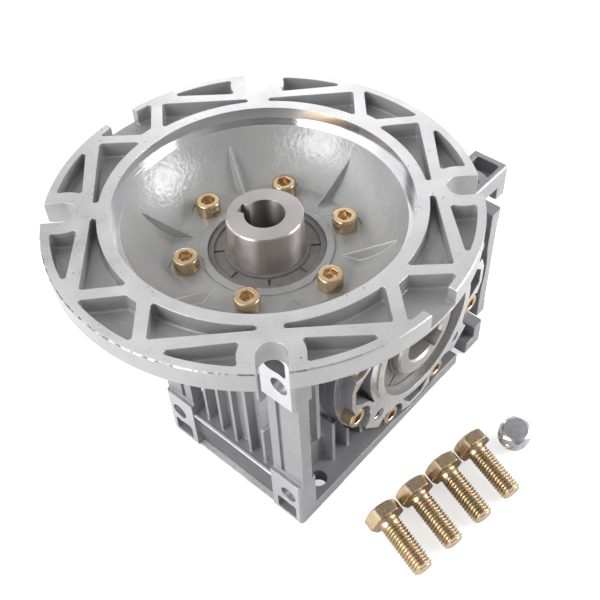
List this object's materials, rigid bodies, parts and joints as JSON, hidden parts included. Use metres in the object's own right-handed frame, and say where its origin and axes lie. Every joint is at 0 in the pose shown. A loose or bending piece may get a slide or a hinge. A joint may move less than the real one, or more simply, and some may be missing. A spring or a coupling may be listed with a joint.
{
  "type": "worm gear reducer",
  "caption": "Right-angle worm gear speed reducer with a slotted motor flange on top, finned cast case, keyed hollow input and output shafts, and loose fixing bolts and a breather plug.",
  "frame": {"origin": "middle of the hollow output shaft, on its axis", "axes": "+Y along the output shaft away from the removable cover, +Z along the worm to the motor flange, -X to the finned foot face"},
  "size_m": [0.1925, 0.1909, 0.1515],
  "materials": {
    "cast_case": "grey paint over cast aluminium, satin",
    "cast_flange": "cast aluminium, painted bowl, machined face",
    "cast_cover": "cast aluminium with machined faces",
    "shaft_steel": "turned and ground steel",
    "bearing_steel": "ground bearing steel",
    "wheel_bronze": "machined bronze",
    "seal_rubber": "brown-grey nitrile rubber",
    "ring_rubber": "black rubber",
    "yellow_zinc": "yellow passivated zinc on steel",
    "white_zinc": "white zinc plated steel"
  },
  "bodies": {
    "housing": {"gear_case": "cast_case", "output_cover": "cast_cover", "cover_o_ring": "ring_rubber", "rear_cap": "ring_rubber", "input_flange": "cast_flange", "flange_screws": "yellow_zinc", "cover_screws": "yellow_zinc", "filler_plug": "white_zinc", "input_seal": "seal_rubber", "output_seal_front": "seal_rubber", "output_seal_rear": "seal_rubber", "worm_top_bearing_outer": "bearing_steel", "worm_low_bearing_outer": "bearing_steel", "output_front_bearing_outer": "bearing_steel", "output_rear_bearing_outer": "bearing_steel", "mounting_bolts": "yellow_zinc", "vent_plug": "white_zinc", "vent_washer": "white_zinc"},
    "worm": {"worm_shaft": "shaft_steel", "worm_top_circlip": "bearing_steel", "worm_top_bearing_inner": "bearing_steel", "worm_low_bearing_inner": "bearing_steel"},
    "output": {"output_shaft": "shaft_steel", "worm_wheel_rim": "wheel_bronze", "output_front_bearing_inner": "bearing_steel", "output_rear_bearing_inner": "bearing_steel"},
    "worm_top_bearing_set": {"worm_top_bearing_balls": "bearing_steel"},
    "worm_low_bearing_set": {"worm_low_bearing_balls": "bearing_steel"},
    "output_front_bearing_set": {"output_front_bearing_balls": "bearing_steel"},
    "output_rear_bearing_set": {"output_rear_bearing_balls": "bearing_steel"}
  },
  "joints": [
    {"name": "worm_spin", "type": "hinge", "parent": "housing", "child": "worm", "pos_m": [-0.05, 0, 0], "axis": [0, 0, 1], "continuous": true},
    {"name": "output_spin", "type": "hinge", "parent": "housing", "child": "output", "pos_m": [0, 0, 0], "axis": [0, 1, 0], "continuous": true},
    {"name": "worm_top_bearing_roll", "type": "hinge", "parent": "housing", "child": "worm_top_bearing_set", "pos_m": [-0.05, 0, 0], "axis": [0, 0, 1], "continuous": true},
    {"name": "worm_low_bearing_roll", "type": "hinge", "parent": "housing", "child": "worm_low_bearing_set", "pos_m": [-0.05, 0, 0], "axis": [0, 0, 1], "continuous": true},
    {"name": "output_front_bearing_roll", "type": "hinge", "parent": "housing", "child": "output_front_bearing_set", "pos_m": [0, 0, 0], "axis": [0, 1, 0], "continuous": true},
    {"name": "output_rear_bearing_roll", "type": "hinge", "parent": "housing", "child": "output_rear_bearing_set", "pos_m": [0, 0, 0], "axis": [0, 1, 0], "continuous": true}
  ],
  "couplings": [
    {"joint": "output_spin", "follows": "worm_spin", "ratio": -0.033333},
    {"joint": "worm_top_bearing_roll", "follows": "worm_spin", "ratio": 0.41471},
    {"joint": "worm_low_bearing_roll", "follows": "worm_spin", "ratio": 0.38298},
    {"joint": "output_front_bearing_roll", "follows": "worm_spin", "ratio": -0.01416},
    {"joint": "output_rear_bearing_roll", "follows": "worm_spin", "ratio": -0.01416}
  ]
}
